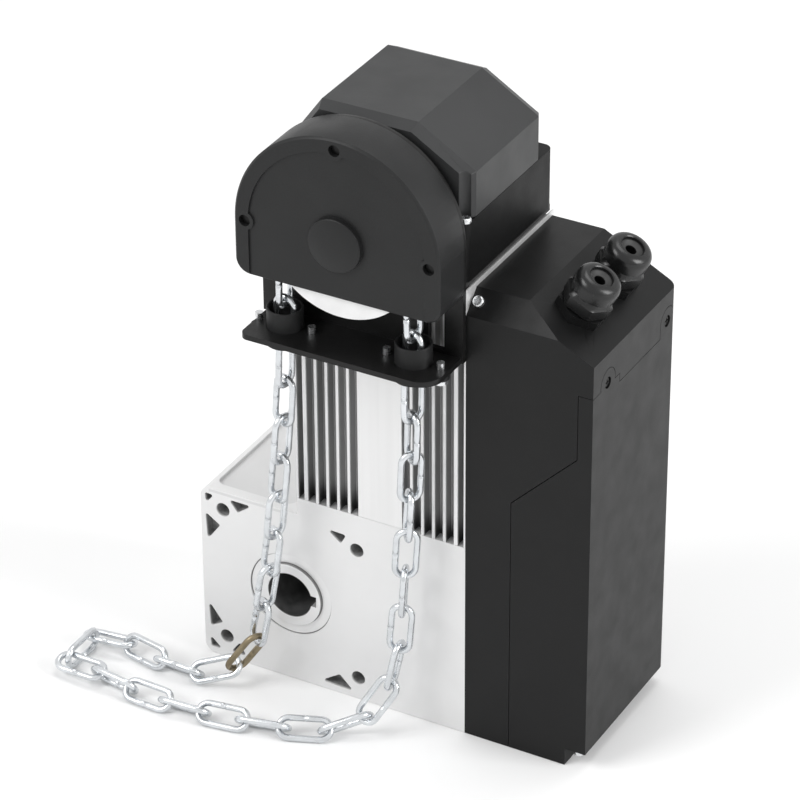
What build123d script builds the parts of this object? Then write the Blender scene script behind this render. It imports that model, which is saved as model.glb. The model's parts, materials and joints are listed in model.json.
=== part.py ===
from build123d import *
from math import atan2, cos, degrees, pi, radians, sin, sqrt, tan
import os

# Industrial door operator: a worm gearbox with a hollow output shaft, a finned motor standing on it,
# a hand-chain hoist on the motor's head and a control box on the right side.
# Origin: centre of the output bore on the gearbox's front face. X right, Y into the unit, Z up. Millimetres.

# Gearbox casting
gear_left = -53.5
gear_right = 103.0
gear_bottom = -53.3
gear_top = 51.3
gear_depth = 93.5
gear_corner = 6.0
gear_wall = 7.0
seat_left = 5.0
seat_top = 61.3
top_rim = 6.0
top_recess = 2.0
bolt_spacing = 80.0
bolt_hole_radius = 4.0
bolt_hole_depth = 20.0
rear_hole_radius = 3.4
pocket_depth = 6.0
pocket_round = 1.0

# Output shaft and its running parts
bore_radius = 12.7
shaft_radius = 18.5
shaft_proud = 1.0
key_width = 6.35
key_depth = 3.0
seal_radius = 24.4
seal_width = 7.0
seal_sink = 0.8
output_bearing_radius = 27.5
output_bearing_width = 9.0
rear_cover_radius = 49.0
rear_cover_lip = 5.0
running_gap = 0.05
free_gap = 0.3
screw_head_radius = 2.8
screw_head_height = 2.2

# Worm gear pair
gear_module = 2.0
wheel_teeth = 36
worm_pitch_radius = 10.5
wheel_width = 12.0
tooth_backlash = 0.5

# Motor
motor_top = 210.5
motor_bore_radius = 37.5
fin_pitch = 6.25
fin_groove_width = 4.6
fin_groove_depth = 6.0
fin_first = 15.0
fin_count = 5
edge_groove_width = 3.4
edge_groove_offset = 46.2
stator_length = 78.0
rotor_radius = 19.0
rotor_air_gap = 0.5
motor_shaft_radius = 7.5
motor_bearing_radius = 17.5
motor_bearing_width = 11.0
motor_shaft_top = 215.0
pilot_radius = 4.5

# Drive head on top of the motor
gasket_thickness = 3.5
gasket_inset = 1.6
base_top = 247.0
head_wall = 3.2
head_half_width = 56.5
roof_height = 290.5
roof_left = 18.5
roof_right = 71.5
eave_left = 251.0
eave_right = 271.5
hood_front = 4.0
hood_back = 81.0
hood_edge = 6.0
hood_edge_drop = 3.0
hood_screw_recess = 4.2
base_depth = 92.0

# Hand-chain hoist
hoist_z = 235.0
chain_plane_y = -16.0
cover_depth = 28.0
cover_radius = 57.0
cover_wall = 1.8
cover_recess = 1.0
cover_band = 8.0
cover_edge = 1.2
cover_boss_radius = 14.5
cover_screw_inset = 6.0
cover_bottom = 205.0
plate_thickness = 3.0
flange_top = 174.0
flange_reach = 33.5
guide_spacing = 72.4
guide_radius = 9.4
guide_bore_radius = 8.3
guide_rise = 11.0
guide_drop = 6.0
guide_screw_spacing = 30.0
hoist_shaft_radius = 6.0
hoist_bearing_radius = 11.0
hoist_boss_depth = 16.0
bevel_teeth = 16
bevel_pitch_radius = 14.0
bevel_face = 4.5
bevel_tip_angle = 49.0
bevel_root_angle = 38.5

# Hand chain
wire = 3.4
link_inner_length = 24.2
link_width = 14.0
hanging_pitch = 23.4
wheel_pitch = 22.0
wheel_pockets = 5
hub_half = 8.6

# Control box
box_right = 172.6
box_depth = 91.8
box_shoulder_x = 132.0
box_shoulder_z = 208.0
box_corner_z = 187.0
box_wall = 3.0
box_chamfer = 11.0
split_low_x = 128.4
split_high_x = 164.4
split_low_z = 96.5
split_high_z = 132.5
split_top_z = 169.2
split_gap = 0.3
side_dip_z = 164.5
side_dip_front = 29.0
side_dip_back = 74.0
arch_radius = 8.0
side_screw_places = ((16.0, 170.5), (82.0, 171.0))
side_screw_sink = 1.6
foot_notch_width = 11.6
foot_notch_height = 10.0
gland_spacing = 34.0
gland_hole_radius = 10.15
gland_hex = 24.0
gland_height = 25.0

os.makedirs("parts", exist_ok=True)

# Places worked out from the sizes above
mid_y = gear_depth / 2
wheel_radius = gear_module * wheel_teeth / 2
motor_x = wheel_radius + worm_pitch_radius
hoist_x = motor_x
motor_centre_x = (seat_left + gear_right) / 2
half_bolt = bolt_spacing / 2
chamber_front = seal_sink + seal_width + output_bearing_width
chamber_back = gear_depth - chamber_front
chamber_radius = wheel_radius + 2 * gear_module + 1.0
hoist_axis = Axis((hoist_x, 0, hoist_z), (0, 1, 0))


def front_plane(y):
    """A sketch plane that faces the viewer: its own x is X and its own y is Z."""
    return Plane.XZ.offset(-y)


# Corner points in X and Z of the cast pockets round the four fixing holes
cast_pockets = (
    ((-50.8, 47.8), (-45.4, 47.3), (-50.3, 41.3)), ((-36.1, 47.5), (-22.3, 47.4), (-31.1, 40.8)),
    ((-50.8, 35.5), (-42.0, 29.7), (-50.0, 18.7)), ((-50.8, -20.5), (-42.2, -32.0), (-49.9, -36.5)),
    ((-50.6, -42.6), (-42.9, -49.6), (-50.0, -49.5)), ((-37.7, -49.1), (-31.9, -41.4), (-28.6, -49.2)),
    ((22.3, 47.8), (33.9, 47.3), (30.7, 41.3)), ((17.4, -49.0), (28.8, -41.5), (37.1, -49.6)),
)

# Gearbox casting: a block with a raised motor seat, hollow for the worm wheel and the worm
with BuildPart() as gearbox_housing:
    with BuildSketch(front_plane(0)):
        with BuildLine():
            Polyline(
                (gear_left, gear_bottom), (gear_right, gear_bottom), (gear_right, seat_top),
                (seat_left, seat_top), (seat_left, gear_top), (gear_left, gear_top), close=True,
            )
        make_face()
    extrude(amount=-gear_depth)
    outer_corners = gearbox_housing.edges().filter_by(Axis.Y).group_by(Axis.X)[0]
    fillet(outer_corners, gear_corner)
    with BuildSketch(Plane.XY.offset(gear_top)):
        with Locations(((gear_left + seat_left) / 2, mid_y)):
            RectangleRounded(seat_left - gear_left - 2 * top_rim, gear_depth - 2 * top_rim, 5)
    extrude(amount=-top_recess, mode=Mode.SUBTRACT)
    # seal and bearing seats at the front, open chamber behind them
    with BuildSketch(front_plane(0)):
        Circle(seal_radius)
    extrude(amount=-seal_width - seal_sink, mode=Mode.SUBTRACT)
    with BuildSketch(front_plane(seal_width + seal_sink)):
        Circle(output_bearing_radius)
    extrude(amount=-output_bearing_width, mode=Mode.SUBTRACT)
    with BuildSketch(front_plane(chamber_front)):
        Circle(chamber_radius)
    extrude(amount=-(gear_depth - chamber_front), mode=Mode.SUBTRACT)
    with BuildSketch(front_plane(gear_depth)):
        Circle(rear_cover_radius)
    extrude(amount=rear_cover_lip, mode=Mode.SUBTRACT)
    # vertical worm chamber and the opening up into the motor
    with BuildSketch(Plane.XY.offset(gear_bottom + gear_wall)):
        with Locations((motor_x, mid_y)):
            Circle(motor_bearing_radius)
    extrude(amount=seat_top - gear_bottom - gear_wall, mode=Mode.SUBTRACT)
    # fixing holes that stop short of the worm chamber: threaded in the front, still at drill size in the back
    for face_y, radius, depth in (
        (0, bolt_hole_radius, -bolt_hole_depth), (gear_depth, rear_hole_radius, bolt_hole_depth),
    ):
        with BuildSketch(front_plane(face_y)):
            with GridLocations(bolt_spacing, bolt_spacing, 2, 2):
                Circle(radius)
        extrude(amount=depth, mode=Mode.SUBTRACT)
    # cast pockets round the fixing holes on the front face
    for corners in cast_pockets:
        with BuildSketch(front_plane(0)) as pocket_shape:
            Polygon(*corners, align=None)
            fillet(pocket_shape.vertices(), pocket_round)
        extrude(amount=-pocket_depth, mode=Mode.SUBTRACT)
gearbox_housing.part.label = "gearbox_housing"
export_step(gearbox_housing.part, "parts/gearbox_housing.step")


# Rear cover of the gearbox: carries the second output bearing and closes the wheel chamber
with BuildPart() as gearbox_rear_cover:
    with BuildSketch(front_plane(gear_depth)):
        Circle(rear_cover_radius - running_gap)
    extrude(amount=rear_cover_lip)
    with BuildSketch(front_plane(gear_depth - rear_cover_lip)):
        Circle(chamber_radius - running_gap)
    extrude(amount=gear_depth - rear_cover_lip - chamber_back)
    with BuildSketch(front_plane(chamber_back)):
        Circle(output_bearing_radius)
    extrude(amount=-output_bearing_width, mode=Mode.SUBTRACT)
    with BuildSketch(front_plane(gear_depth)):
        Circle(seal_radius)
    extrude(amount=seal_width + seal_sink, mode=Mode.SUBTRACT)
    with BuildSketch(front_plane(gear_depth)):
        with PolarLocations(rear_cover_radius - 5.5, 6, start_angle=30):
            Circle(3.0)
    extrude(amount=3.0, mode=Mode.SUBTRACT)
gearbox_rear_cover.part.label = "gearbox_rear_cover"
export_step(gearbox_rear_cover.part, "parts/gearbox_rear_cover.step")

# Screws of the rear cover, seated in its counterbores
with BuildPart() as rear_cover_screws:
    with BuildSketch(front_plane(gear_depth - 3.0)):
        with PolarLocations(rear_cover_radius - 5.5, 6, start_angle=30):
            RegularPolygon(2.8, 6)
    extrude(amount=-2.6)
rear_cover_screws.part.label = "rear_cover_screws"
export_step(rear_cover_screws.part, "parts/rear_cover_screws.step")


# Hollow output shaft with its keyway on the right side
with BuildPart() as output_shaft:
    with BuildSketch(front_plane(-shaft_proud)):
        Circle(shaft_radius)
        Circle(bore_radius, mode=Mode.SUBTRACT)
    extrude(amount=-(gear_depth + 2 * shaft_proud))
    with BuildSketch(front_plane(-shaft_proud)):
        with Locations((bore_radius, 0)):
            Rectangle(2 * key_depth, key_width)
    extrude(amount=-(gear_depth + 2 * shaft_proud), mode=Mode.SUBTRACT)
output_shaft.part.label = "output_shaft"
export_step(output_shaft.part, "parts/output_shaft.step")


# Oil seals and ball bearings of the output shaft, front and rear
def seal_ring(front_y):
    with BuildPart() as ring:
        with BuildSketch(front_plane(front_y)):
            Circle(seal_radius)
            Circle(shaft_radius + running_gap, mode=Mode.SUBTRACT)
        extrude(amount=-seal_width)
    return ring.part


def output_bearing(front_y):
    with BuildPart() as ring:
        with BuildSketch(front_plane(front_y)):
            Circle(output_bearing_radius)
            Circle(shaft_radius + running_gap, mode=Mode.SUBTRACT)
        extrude(amount=-output_bearing_width)
        with BuildSketch(front_plane(front_y)):
            Circle(output_bearing_radius - 2.5)
            Circle(shaft_radius + 2.5, mode=Mode.SUBTRACT)
        extrude(amount=-0.6, mode=Mode.SUBTRACT)
    return ring.part


front_oil_seal = seal_ring(seal_sink)
front_oil_seal.label = "front_oil_seal"
export_step(front_oil_seal, "parts/front_oil_seal.step")

rear_oil_seal = seal_ring(gear_depth - seal_sink - seal_width)
rear_oil_seal.label = "rear_oil_seal"
export_step(rear_oil_seal, "parts/rear_oil_seal.step")

front_output_bearing = output_bearing(seal_sink + seal_width)
front_output_bearing.label = "front_output_bearing"
export_step(front_output_bearing, "parts/front_output_bearing.step")

rear_output_bearing = output_bearing(chamber_back)
rear_output_bearing.label = "rear_output_bearing"
export_step(rear_output_bearing, "parts/rear_output_bearing.step")


def gear_points(teeth, root_radius, tip_radius, root_width, tip_width, turn=0.0):
    """Corner points of a gear outline with straight-sided teeth, the first tooth at the angle turn."""
    points = []
    for tooth in range(teeth):
        middle = turn + 2 * pi * tooth / teeth
        for radius, width, side in (
            (root_radius, root_width, -1), (tip_radius, tip_width, -1),
            (tip_radius, tip_width, 1), (root_radius, root_width, 1),
        ):
            angle = middle + side * width / 2 / radius
            points.append((radius * cos(angle), radius * sin(angle)))
    return points


# Worm wheel: its teeth lean by the lead angle of the one-start worm
axial_pitch = pi * gear_module
tooth_width = axial_pitch / 2 - tooth_backlash
flank = gear_module * tan(radians(20))
half_tooth = pi / wheel_teeth
lean = wheel_width * gear_module / (2 * worm_pitch_radius) / wheel_radius / 2
with BuildPart() as worm_wheel:
    for y, turn in ((mid_y - wheel_width / 2, half_tooth + lean), (mid_y + wheel_width / 2, half_tooth - lean)):
        with BuildSketch(front_plane(y)):
            Polygon(
                *gear_points(wheel_teeth, wheel_radius - 1.2 * gear_module, wheel_radius + gear_module,
                             tooth_width + 2.2 * flank, tooth_width - 1.9 * flank, turn),
                align=None,
            )
    loft(ruled=True)
    with BuildSketch(front_plane(mid_y - wheel_width / 2)):
        Circle(shaft_radius)
    extrude(amount=-wheel_width, mode=Mode.SUBTRACT)
worm_wheel.part.label = "worm_wheel"
export_step(worm_wheel.part, "parts/worm_wheel.step")

# Worm and motor shaft in one piece, with a dog at its top for the hand drive
worm_half = 2.5 * axial_pitch
with BuildPart() as worm_shaft:
    with BuildSketch(Plane.XY.offset(gear_bottom + gear_wall)):
        with Locations((motor_x, mid_y)):
            Circle(motor_shaft_radius)
    extrude(amount=motor_shaft_top - gear_bottom - gear_wall)
    with BuildSketch(Plane.XY.offset(motor_shaft_top)):
        with Locations((motor_x, mid_y)):
            Circle(pilot_radius)
    extrude(amount=hoist_z - bevel_pitch_radius + bevel_face - motor_shaft_top)
    with BuildSketch(Plane.XY.offset(-worm_half - axial_pitch / 2)):
        with Locations((motor_x, mid_y)):
            Circle(worm_pitch_radius - 1.2 * gear_module)
    extrude(amount=2 * worm_half + axial_pitch)
    with BuildLine():
        worm_path = Helix(axial_pitch, 2 * worm_half, worm_pitch_radius - 1.2 * gear_module - 0.4,
                          center=(motor_x, mid_y, -worm_half))
    with BuildSketch(Plane(origin=worm_path @ 0, x_dir=(1, 0, 0), z_dir=worm_path % 0)):
        with BuildLine():
            Polyline(
                (0, -tooth_width / 2 - 1.2 * flank), (2.2 * gear_module + 0.4, -tooth_width / 2 + flank),
                (2.2 * gear_module + 0.4, tooth_width / 2 - flank), (0, tooth_width / 2 + 1.2 * flank),
                close=True,
            )
        make_face()
    sweep(path=worm_path, is_frenet=True)
worm_shaft.part.label = "worm_shaft"
export_step(worm_shaft.part, "parts/worm_shaft.step")


# Motor shaft bearings, below the worm and in the motor's head
def motor_bearing(bottom_z):
    with BuildPart() as ring:
        with BuildSketch(Plane.XY.offset(bottom_z)):
            with Locations((motor_x, mid_y)):
                Circle(motor_bearing_radius)
                Circle(motor_shaft_radius + running_gap, mode=Mode.SUBTRACT)
        extrude(amount=motor_bearing_width)
    return ring.part


lower_motor_bearing = motor_bearing(gear_bottom + gear_wall + 1.0)
lower_motor_bearing.label = "lower_motor_bearing"
export_step(lower_motor_bearing, "parts/lower_motor_bearing.step")

middle_motor_bearing = motor_bearing(seat_top - motor_bearing_width)
middle_motor_bearing.label = "middle_motor_bearing"
export_step(middle_motor_bearing, "parts/middle_motor_bearing.step")

upper_motor_bearing = motor_bearing(motor_top - motor_bearing_width)
upper_motor_bearing.label = "upper_motor_bearing"
export_step(upper_motor_bearing, "parts/upper_motor_bearing.step")

# Motor body: a finned aluminium extrusion with a plain band down the middle of its front and back
with BuildPart() as motor_body:
    with BuildSketch(Plane.XY.offset(seat_top)):
        with Locations((motor_centre_x, mid_y)):
            Rectangle(gear_right - seat_left, gear_depth)
        with Locations((motor_x, mid_y)):
            Circle(motor_bore_radius, mode=Mode.SUBTRACT)
        for face_y in (0, gear_depth):
            for side in (-1, 1):
                with Locations((motor_centre_x + side * edge_groove_offset, face_y)):
                    Rectangle(edge_groove_width, 2 * fin_groove_depth, mode=Mode.SUBTRACT)
                for step in range(fin_count):
                    with Locations((motor_centre_x + side * (fin_first + step * fin_pitch), face_y)):
                        Rectangle(fin_groove_width, 2 * fin_groove_depth, mode=Mode.SUBTRACT)
    extrude(amount=motor_top - seat_top)
motor_body.part.label = "motor_body"
export_step(motor_body.part, "parts/motor_body.step")

# Stator core and the two crowns of its winding
stator_bottom = (seat_top + motor_top) / 2 - stator_length / 2
winding_height = 18.0
stator_bore_radius = rotor_radius + rotor_air_gap
with BuildPart() as stator_core:
    with BuildSketch(Plane.XY.offset(stator_bottom)):
        with Locations((motor_x, mid_y)):
            Circle(motor_bore_radius)
            Circle(stator_bore_radius, mode=Mode.SUBTRACT)
    extrude(amount=stator_length)
stator_core.part.label = "stator_core"
export_step(stator_core.part, "parts/stator_core.step")

with BuildPart() as stator_windings:
    for bottom in (stator_bottom - winding_height, stator_bottom + stator_length):
        with BuildSketch(Plane.XY.offset(bottom)):
            with Locations((motor_x, mid_y)):
                Circle(motor_bore_radius - 4.0)
                Circle(stator_bore_radius + 1.5, mode=Mode.SUBTRACT)
        extrude(amount=winding_height)
stator_windings.part.label = "stator_windings"
export_step(stator_windings.part, "parts/stator_windings.step")

# Rotor core, pressed on the motor shaft
with BuildPart() as rotor_core:
    with BuildSketch(Plane.XY.offset(stator_bottom)):
        with Locations((motor_x, mid_y)):
            Circle(rotor_radius)
            Circle(motor_shaft_radius, mode=Mode.SUBTRACT)
    extrude(amount=stator_length)
rotor_core.part.label = "rotor_core"
export_step(rotor_core.part, "parts/rotor_core.step")

# End shield in the top of the motor bore, with the upper bearing's seat
with BuildPart() as motor_end_shield:
    with BuildSketch(Plane.XY.offset(motor_top - motor_bearing_width)):
        with Locations((motor_x, mid_y)):
            Circle(motor_bore_radius)
            Circle(motor_bearing_radius, mode=Mode.SUBTRACT)
    extrude(amount=motor_bearing_width)
motor_end_shield.part.label = "motor_end_shield"
export_step(motor_end_shield.part, "parts/motor_end_shield.step")

# Gasket between the motor and the drive head
head_left = hoist_x - head_half_width
head_right = hoist_x + head_half_width
with BuildPart() as head_gasket:
    with BuildSketch(Plane.XY.offset(motor_top)):
        with Locations((motor_centre_x, gear_depth / 2)):
            Rectangle(gear_right - seat_left - 2 * gasket_inset, gear_depth - 2 * gasket_inset)
        with Locations((motor_x, mid_y)):
            Circle(motor_bore_radius - 3.0, mode=Mode.SUBTRACT)
    extrude(amount=gasket_thickness)
head_gasket.part.label = "head_gasket"
export_step(head_gasket.part, "parts/head_gasket.step")

# Drive head base: the black moulding that carries the hoist shaft
base_bottom = motor_top + gasket_thickness
base_floor = 3.0
with BuildPart() as drive_base:
    with BuildSketch(Plane.XY.offset(base_bottom)):
        with Locations((hoist_x, base_depth / 2)):
            RectangleRounded(2 * head_half_width, base_depth, 5.0)
    extrude(amount=base_top - base_bottom)
    with BuildSketch(Plane.XY.offset(base_bottom + base_floor)):
        with Locations((hoist_x, (hood_front + hood_back) / 2)):
            RectangleRounded(2 * (head_half_width - head_wall), hood_back - hood_front - 2 * head_wall, 3.0)
    extrude(amount=base_top - base_bottom, mode=Mode.SUBTRACT)
    with BuildSketch(Plane.XY.offset(base_bottom)):
        with Locations((motor_x, mid_y)):
            Circle(motor_shaft_radius + 3.0)
    extrude(amount=base_floor, mode=Mode.SUBTRACT)
    # bearing boss for the hoist shaft, split level with the top of the base
    with BuildSketch(front_plane(0)):
        with Locations((hoist_x, hoist_z)):
            Circle(hoist_bearing_radius + 1.0)
    extrude(amount=-hoist_boss_depth)
    with BuildSketch(front_plane(0)):
        with Locations((hoist_x, hoist_z)):
            Circle(hoist_bearing_radius)
    extrude(amount=-hoist_boss_depth, mode=Mode.SUBTRACT)
    split(bisect_by=Plane.XY.offset(base_top), keep=Keep.BOTTOM)
drive_base.part.label = "drive_base"
export_step(drive_base.part, "parts/drive_base.step")


# Hood over the bevel gears: steep on the left, sloping on the right, with slanted front and back rims
def hood_outline(inset):
    """The hood's section in X and Z, moved inwards by inset."""
    with BuildLine() as line:
        Polyline(
            (head_left + inset, base_top), (head_left + inset, eave_left),
            (roof_left + inset / 2, roof_height - inset), (roof_right - inset / 2, roof_height - inset),
            (head_right - inset, eave_right), (head_right - inset, base_top), close=True,
        )
    return line.line


hood_screw_place = (head_right - 2.0, 3.2)
with BuildPart() as drive_hood:
    with BuildSketch(front_plane(hood_front)):
        with BuildLine():
            add(hood_outline(0))
        make_face()
    extrude(amount=-(hood_back - hood_front))
    rim_edges = drive_hood.faces().filter_by(Axis.Y).edges().filter_by_position(Axis.Z, base_top + 0.5, roof_height + 1)
    chamfer(rim_edges, hood_edge, hood_edge_drop)
    with BuildSketch(front_plane(hood_front + head_wall)):
        with BuildLine():
            add(hood_outline(head_wall + hood_edge_drop))
        make_face()
    extrude(amount=-(hood_back - hood_front - 2 * head_wall), mode=Mode.SUBTRACT)
    # recess for the hood's screw in the front right corner
    with BuildSketch(Plane.XY.offset(base_top)):
        with Locations(hood_screw_place):
            Circle(hood_screw_recess)
    extrude(amount=roof_height - base_top, mode=Mode.SUBTRACT)
drive_hood.part.label = "drive_hood"
export_step(drive_hood.part, "parts/drive_hood.step")

with BuildPart() as hood_screw:
    with BuildSketch(Plane.XY.offset(base_top)):
        with Locations(hood_screw_place):
            Circle(screw_head_radius)
    extrude(amount=screw_head_height)
hood_screw.part.label = "hood_screw"
export_step(hood_screw.part, "parts/hood_screw.step")

# Hoist shaft with its bearing, from the chain wheel back to the bevel gear
with BuildPart() as hoist_shaft:
    with BuildSketch(front_plane(chain_plane_y - hub_half)):
        with Locations((hoist_x, hoist_z)):
            Circle(hoist_shaft_radius)
    extrude(amount=-(mid_y - bevel_pitch_radius + bevel_face - chain_plane_y + hub_half))
hoist_shaft.part.label = "hoist_shaft"
export_step(hoist_shaft.part, "parts/hoist_shaft.step")

with BuildPart() as hoist_bearing:
    with BuildSketch(front_plane(1.0)):
        with Locations((hoist_x, hoist_z)):
            Circle(hoist_bearing_radius)
            Circle(hoist_shaft_radius + running_gap, mode=Mode.SUBTRACT)
    extrude(amount=-(hoist_boss_depth - 2.0))
hoist_bearing.part.label = "hoist_bearing"
export_step(hoist_bearing.part, "parts/hoist_bearing.step")


# Bevel pair: equal gears whose cones meet where the two shafts cross
def bevel_outline(distance, turn):
    """Outline of a bevel gear on a plane at this distance from the crossing point of the shafts."""
    pitch = 2 * pi * distance / bevel_teeth
    return gear_points(
        bevel_teeth, distance * tan(radians(bevel_root_angle)), distance * tan(radians(bevel_tip_angle)),
        0.58 * pitch, 0.26 * pitch, turn,
    )


with BuildPart() as bevel_gear:
    for distance in (bevel_pitch_radius, bevel_pitch_radius - bevel_face):
        with BuildSketch(front_plane(mid_y - distance)):
            with Locations((hoist_x, hoist_z)):
                Polygon(*bevel_outline(distance, 0), align=None)
    loft(ruled=True)
    with BuildSketch(front_plane(mid_y - bevel_pitch_radius - 8.0)):
        with Locations((hoist_x, hoist_z)):
            Circle(hoist_shaft_radius + 3.5)
    extrude(amount=-8.0)
    with BuildSketch(front_plane(0)):
        with Locations((hoist_x, hoist_z)):
            Circle(hoist_shaft_radius)
    extrude(amount=-mid_y, mode=Mode.SUBTRACT)
bevel_gear.part.label = "bevel_gear"
export_step(bevel_gear.part, "parts/bevel_gear.step")

pinion_hub_bottom = motor_shaft_top + free_gap
with BuildPart() as bevel_pinion:
    for distance in (bevel_pitch_radius, bevel_pitch_radius - bevel_face):
        with BuildSketch(Plane.XY.offset(hoist_z - distance)):
            with Locations((motor_x, mid_y)):
                Polygon(*bevel_outline(distance, pi / bevel_teeth), align=None)
    loft(ruled=True)
    with BuildSketch(Plane.XY.offset(pinion_hub_bottom)):
        with Locations((motor_x, mid_y)):
            Circle(pilot_radius + 4.0)
    extrude(amount=hoist_z - bevel_pitch_radius - pinion_hub_bottom)
    with BuildSketch(Plane.XY.offset(pinion_hub_bottom)):
        with Locations((motor_x, mid_y)):
            Circle(pilot_radius + running_gap)
    extrude(amount=hoist_z - pinion_hub_bottom, mode=Mode.SUBTRACT)
bevel_pinion.part.label = "bevel_pinion"
export_step(bevel_pinion.part, "parts/bevel_pinion.step")


# Hoist bracket: a steel plate on the front of the motor and head, bent forward into a flange at its foot
def d_shape(radius, bottom):
    """A D standing on its flat side: half a circle round the hoist shaft on top of an upright block."""
    with BuildLine() as line:
        left_side = Line((hoist_x - radius, bottom), (hoist_x - radius, hoist_z))
        ThreePointArc(left_side @ 1, (hoist_x, hoist_z + radius), (hoist_x + radius, hoist_z))
        Polyline((hoist_x + radius, hoist_z), (hoist_x + radius, bottom), left_side @ 0)
    return line.line


guide_xs = (hoist_x - guide_spacing / 2, hoist_x + guide_spacing / 2)
flange_bottom = flange_top - plate_thickness
flange_left = hoist_x - cover_radius + 4.5
flange_right = hoist_x + cover_radius - 1.5
with BuildPart() as hoist_bracket:
    with BuildSketch(front_plane(-plate_thickness)):
        with BuildLine():
            add(d_shape(cover_radius - 0.5, flange_bottom))
        make_face()
        with Locations((hoist_x, hoist_z)):
            Circle(hoist_bearing_radius, mode=Mode.SUBTRACT)
        with Locations((guide_xs[0] - 8.5, flange_top + 14.0), (guide_xs[1] + 5.5, flange_top + 14.0)):
            Rectangle(9.0, 24.0, mode=Mode.SUBTRACT)
    extrude(amount=-plate_thickness)
    with BuildSketch(Plane.XY.offset(flange_bottom)):
        with Locations(((flange_left + flange_right) / 2, -flange_reach / 2)):
            Rectangle(flange_right - flange_left, flange_reach)
    extrude(amount=plate_thickness)
    front_corners = hoist_bracket.edges().filter_by(Axis.Z).group_by(Axis.Y)[0].sort_by(Axis.X)
    fillet(front_corners[0], 4.0)
    fillet(hoist_bracket.edges().filter_by(Axis.Z).group_by(Axis.Y)[0].sort_by(Axis.X)[-1], 12.0)
    with BuildSketch(Plane.XY.offset(flange_bottom)):
        for x in guide_xs:
            with Locations((x, chain_plane_y)):
                Circle(guide_radius + free_gap)
            with Locations((x - guide_screw_spacing / 2, chain_plane_y), (x + guide_screw_spacing / 2, chain_plane_y)):
                Circle(2.1)
    extrude(amount=plate_thickness, mode=Mode.SUBTRACT)
hoist_bracket.part.label = "hoist_bracket"
export_step(hoist_bracket.part, "parts/hoist_bracket.step")

# D-shaped hoist cover, open at the back and at the bottom
cover_tower_radius = 4.0
cover_screw_sink = 2.5
screw_circle = cover_radius - cover_screw_inset
cover_screw_places = [
    (hoist_x, hoist_z + screw_circle), (hoist_x - screw_circle, hoist_z), (hoist_x + screw_circle, hoist_z),
]
with BuildPart() as hoist_cover:
    with BuildSketch(front_plane(-cover_depth)):
        with BuildLine():
            add(d_shape(cover_radius, cover_bottom))
        make_face()
    extrude(amount=-(cover_depth - plate_thickness))
    lower_corners = hoist_cover.edges().filter_by(Axis.Y).group_by(Axis.Z)[0]
    fillet(lower_corners, 8.0)
    front_rim = hoist_cover.faces().sort_by(Axis.Y)[0].edges()
    chamfer(front_rim, cover_edge)
    with BuildSketch(front_plane(-cover_depth + cover_wall + cover_recess)):
        with BuildLine():
            add(d_shape(cover_radius - cover_wall, cover_bottom - 1))
        make_face()
    extrude(amount=-cover_depth, mode=Mode.SUBTRACT)
    with BuildSketch(front_plane(-cover_depth)):
        with Locations((hoist_x, hoist_z)):
            Circle(cover_radius - cover_band)
        with Locations((hoist_x, (hoist_z + cover_bottom - 1) / 2)):
            Rectangle(2 * (cover_radius - cover_band), hoist_z - cover_bottom + 1)
        with Locations(*cover_screw_places):
            Circle(cover_tower_radius + 1.0, mode=Mode.SUBTRACT)
        with Locations((hoist_x, hoist_z)):
            Circle(cover_boss_radius, mode=Mode.SUBTRACT)
    extrude(amount=-cover_recess, mode=Mode.SUBTRACT)
    # screw towers that reach back to the bracket plate
    with BuildSketch(front_plane(-cover_depth + cover_wall + cover_recess)):
        with Locations(*cover_screw_places):
            Circle(cover_tower_radius)
    extrude(amount=-(cover_depth - cover_wall - cover_recess - plate_thickness))
    with BuildSketch(front_plane(-cover_depth)):
        with Locations(*cover_screw_places):
            Circle(screw_head_radius + free_gap)
    extrude(amount=-cover_screw_sink - screw_head_height, mode=Mode.SUBTRACT)
hoist_cover.part.label = "hoist_cover"
export_step(hoist_cover.part, "parts/hoist_cover.step")

with BuildPart() as cover_screws:
    with BuildSketch(front_plane(-cover_depth + cover_screw_sink)):
        with Locations(*cover_screw_places):
            Circle(screw_head_radius)
    extrude(amount=-screw_head_height)
cover_screws.part.label = "cover_screws"
export_step(cover_screws.part, "parts/cover_screws.step")

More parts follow.
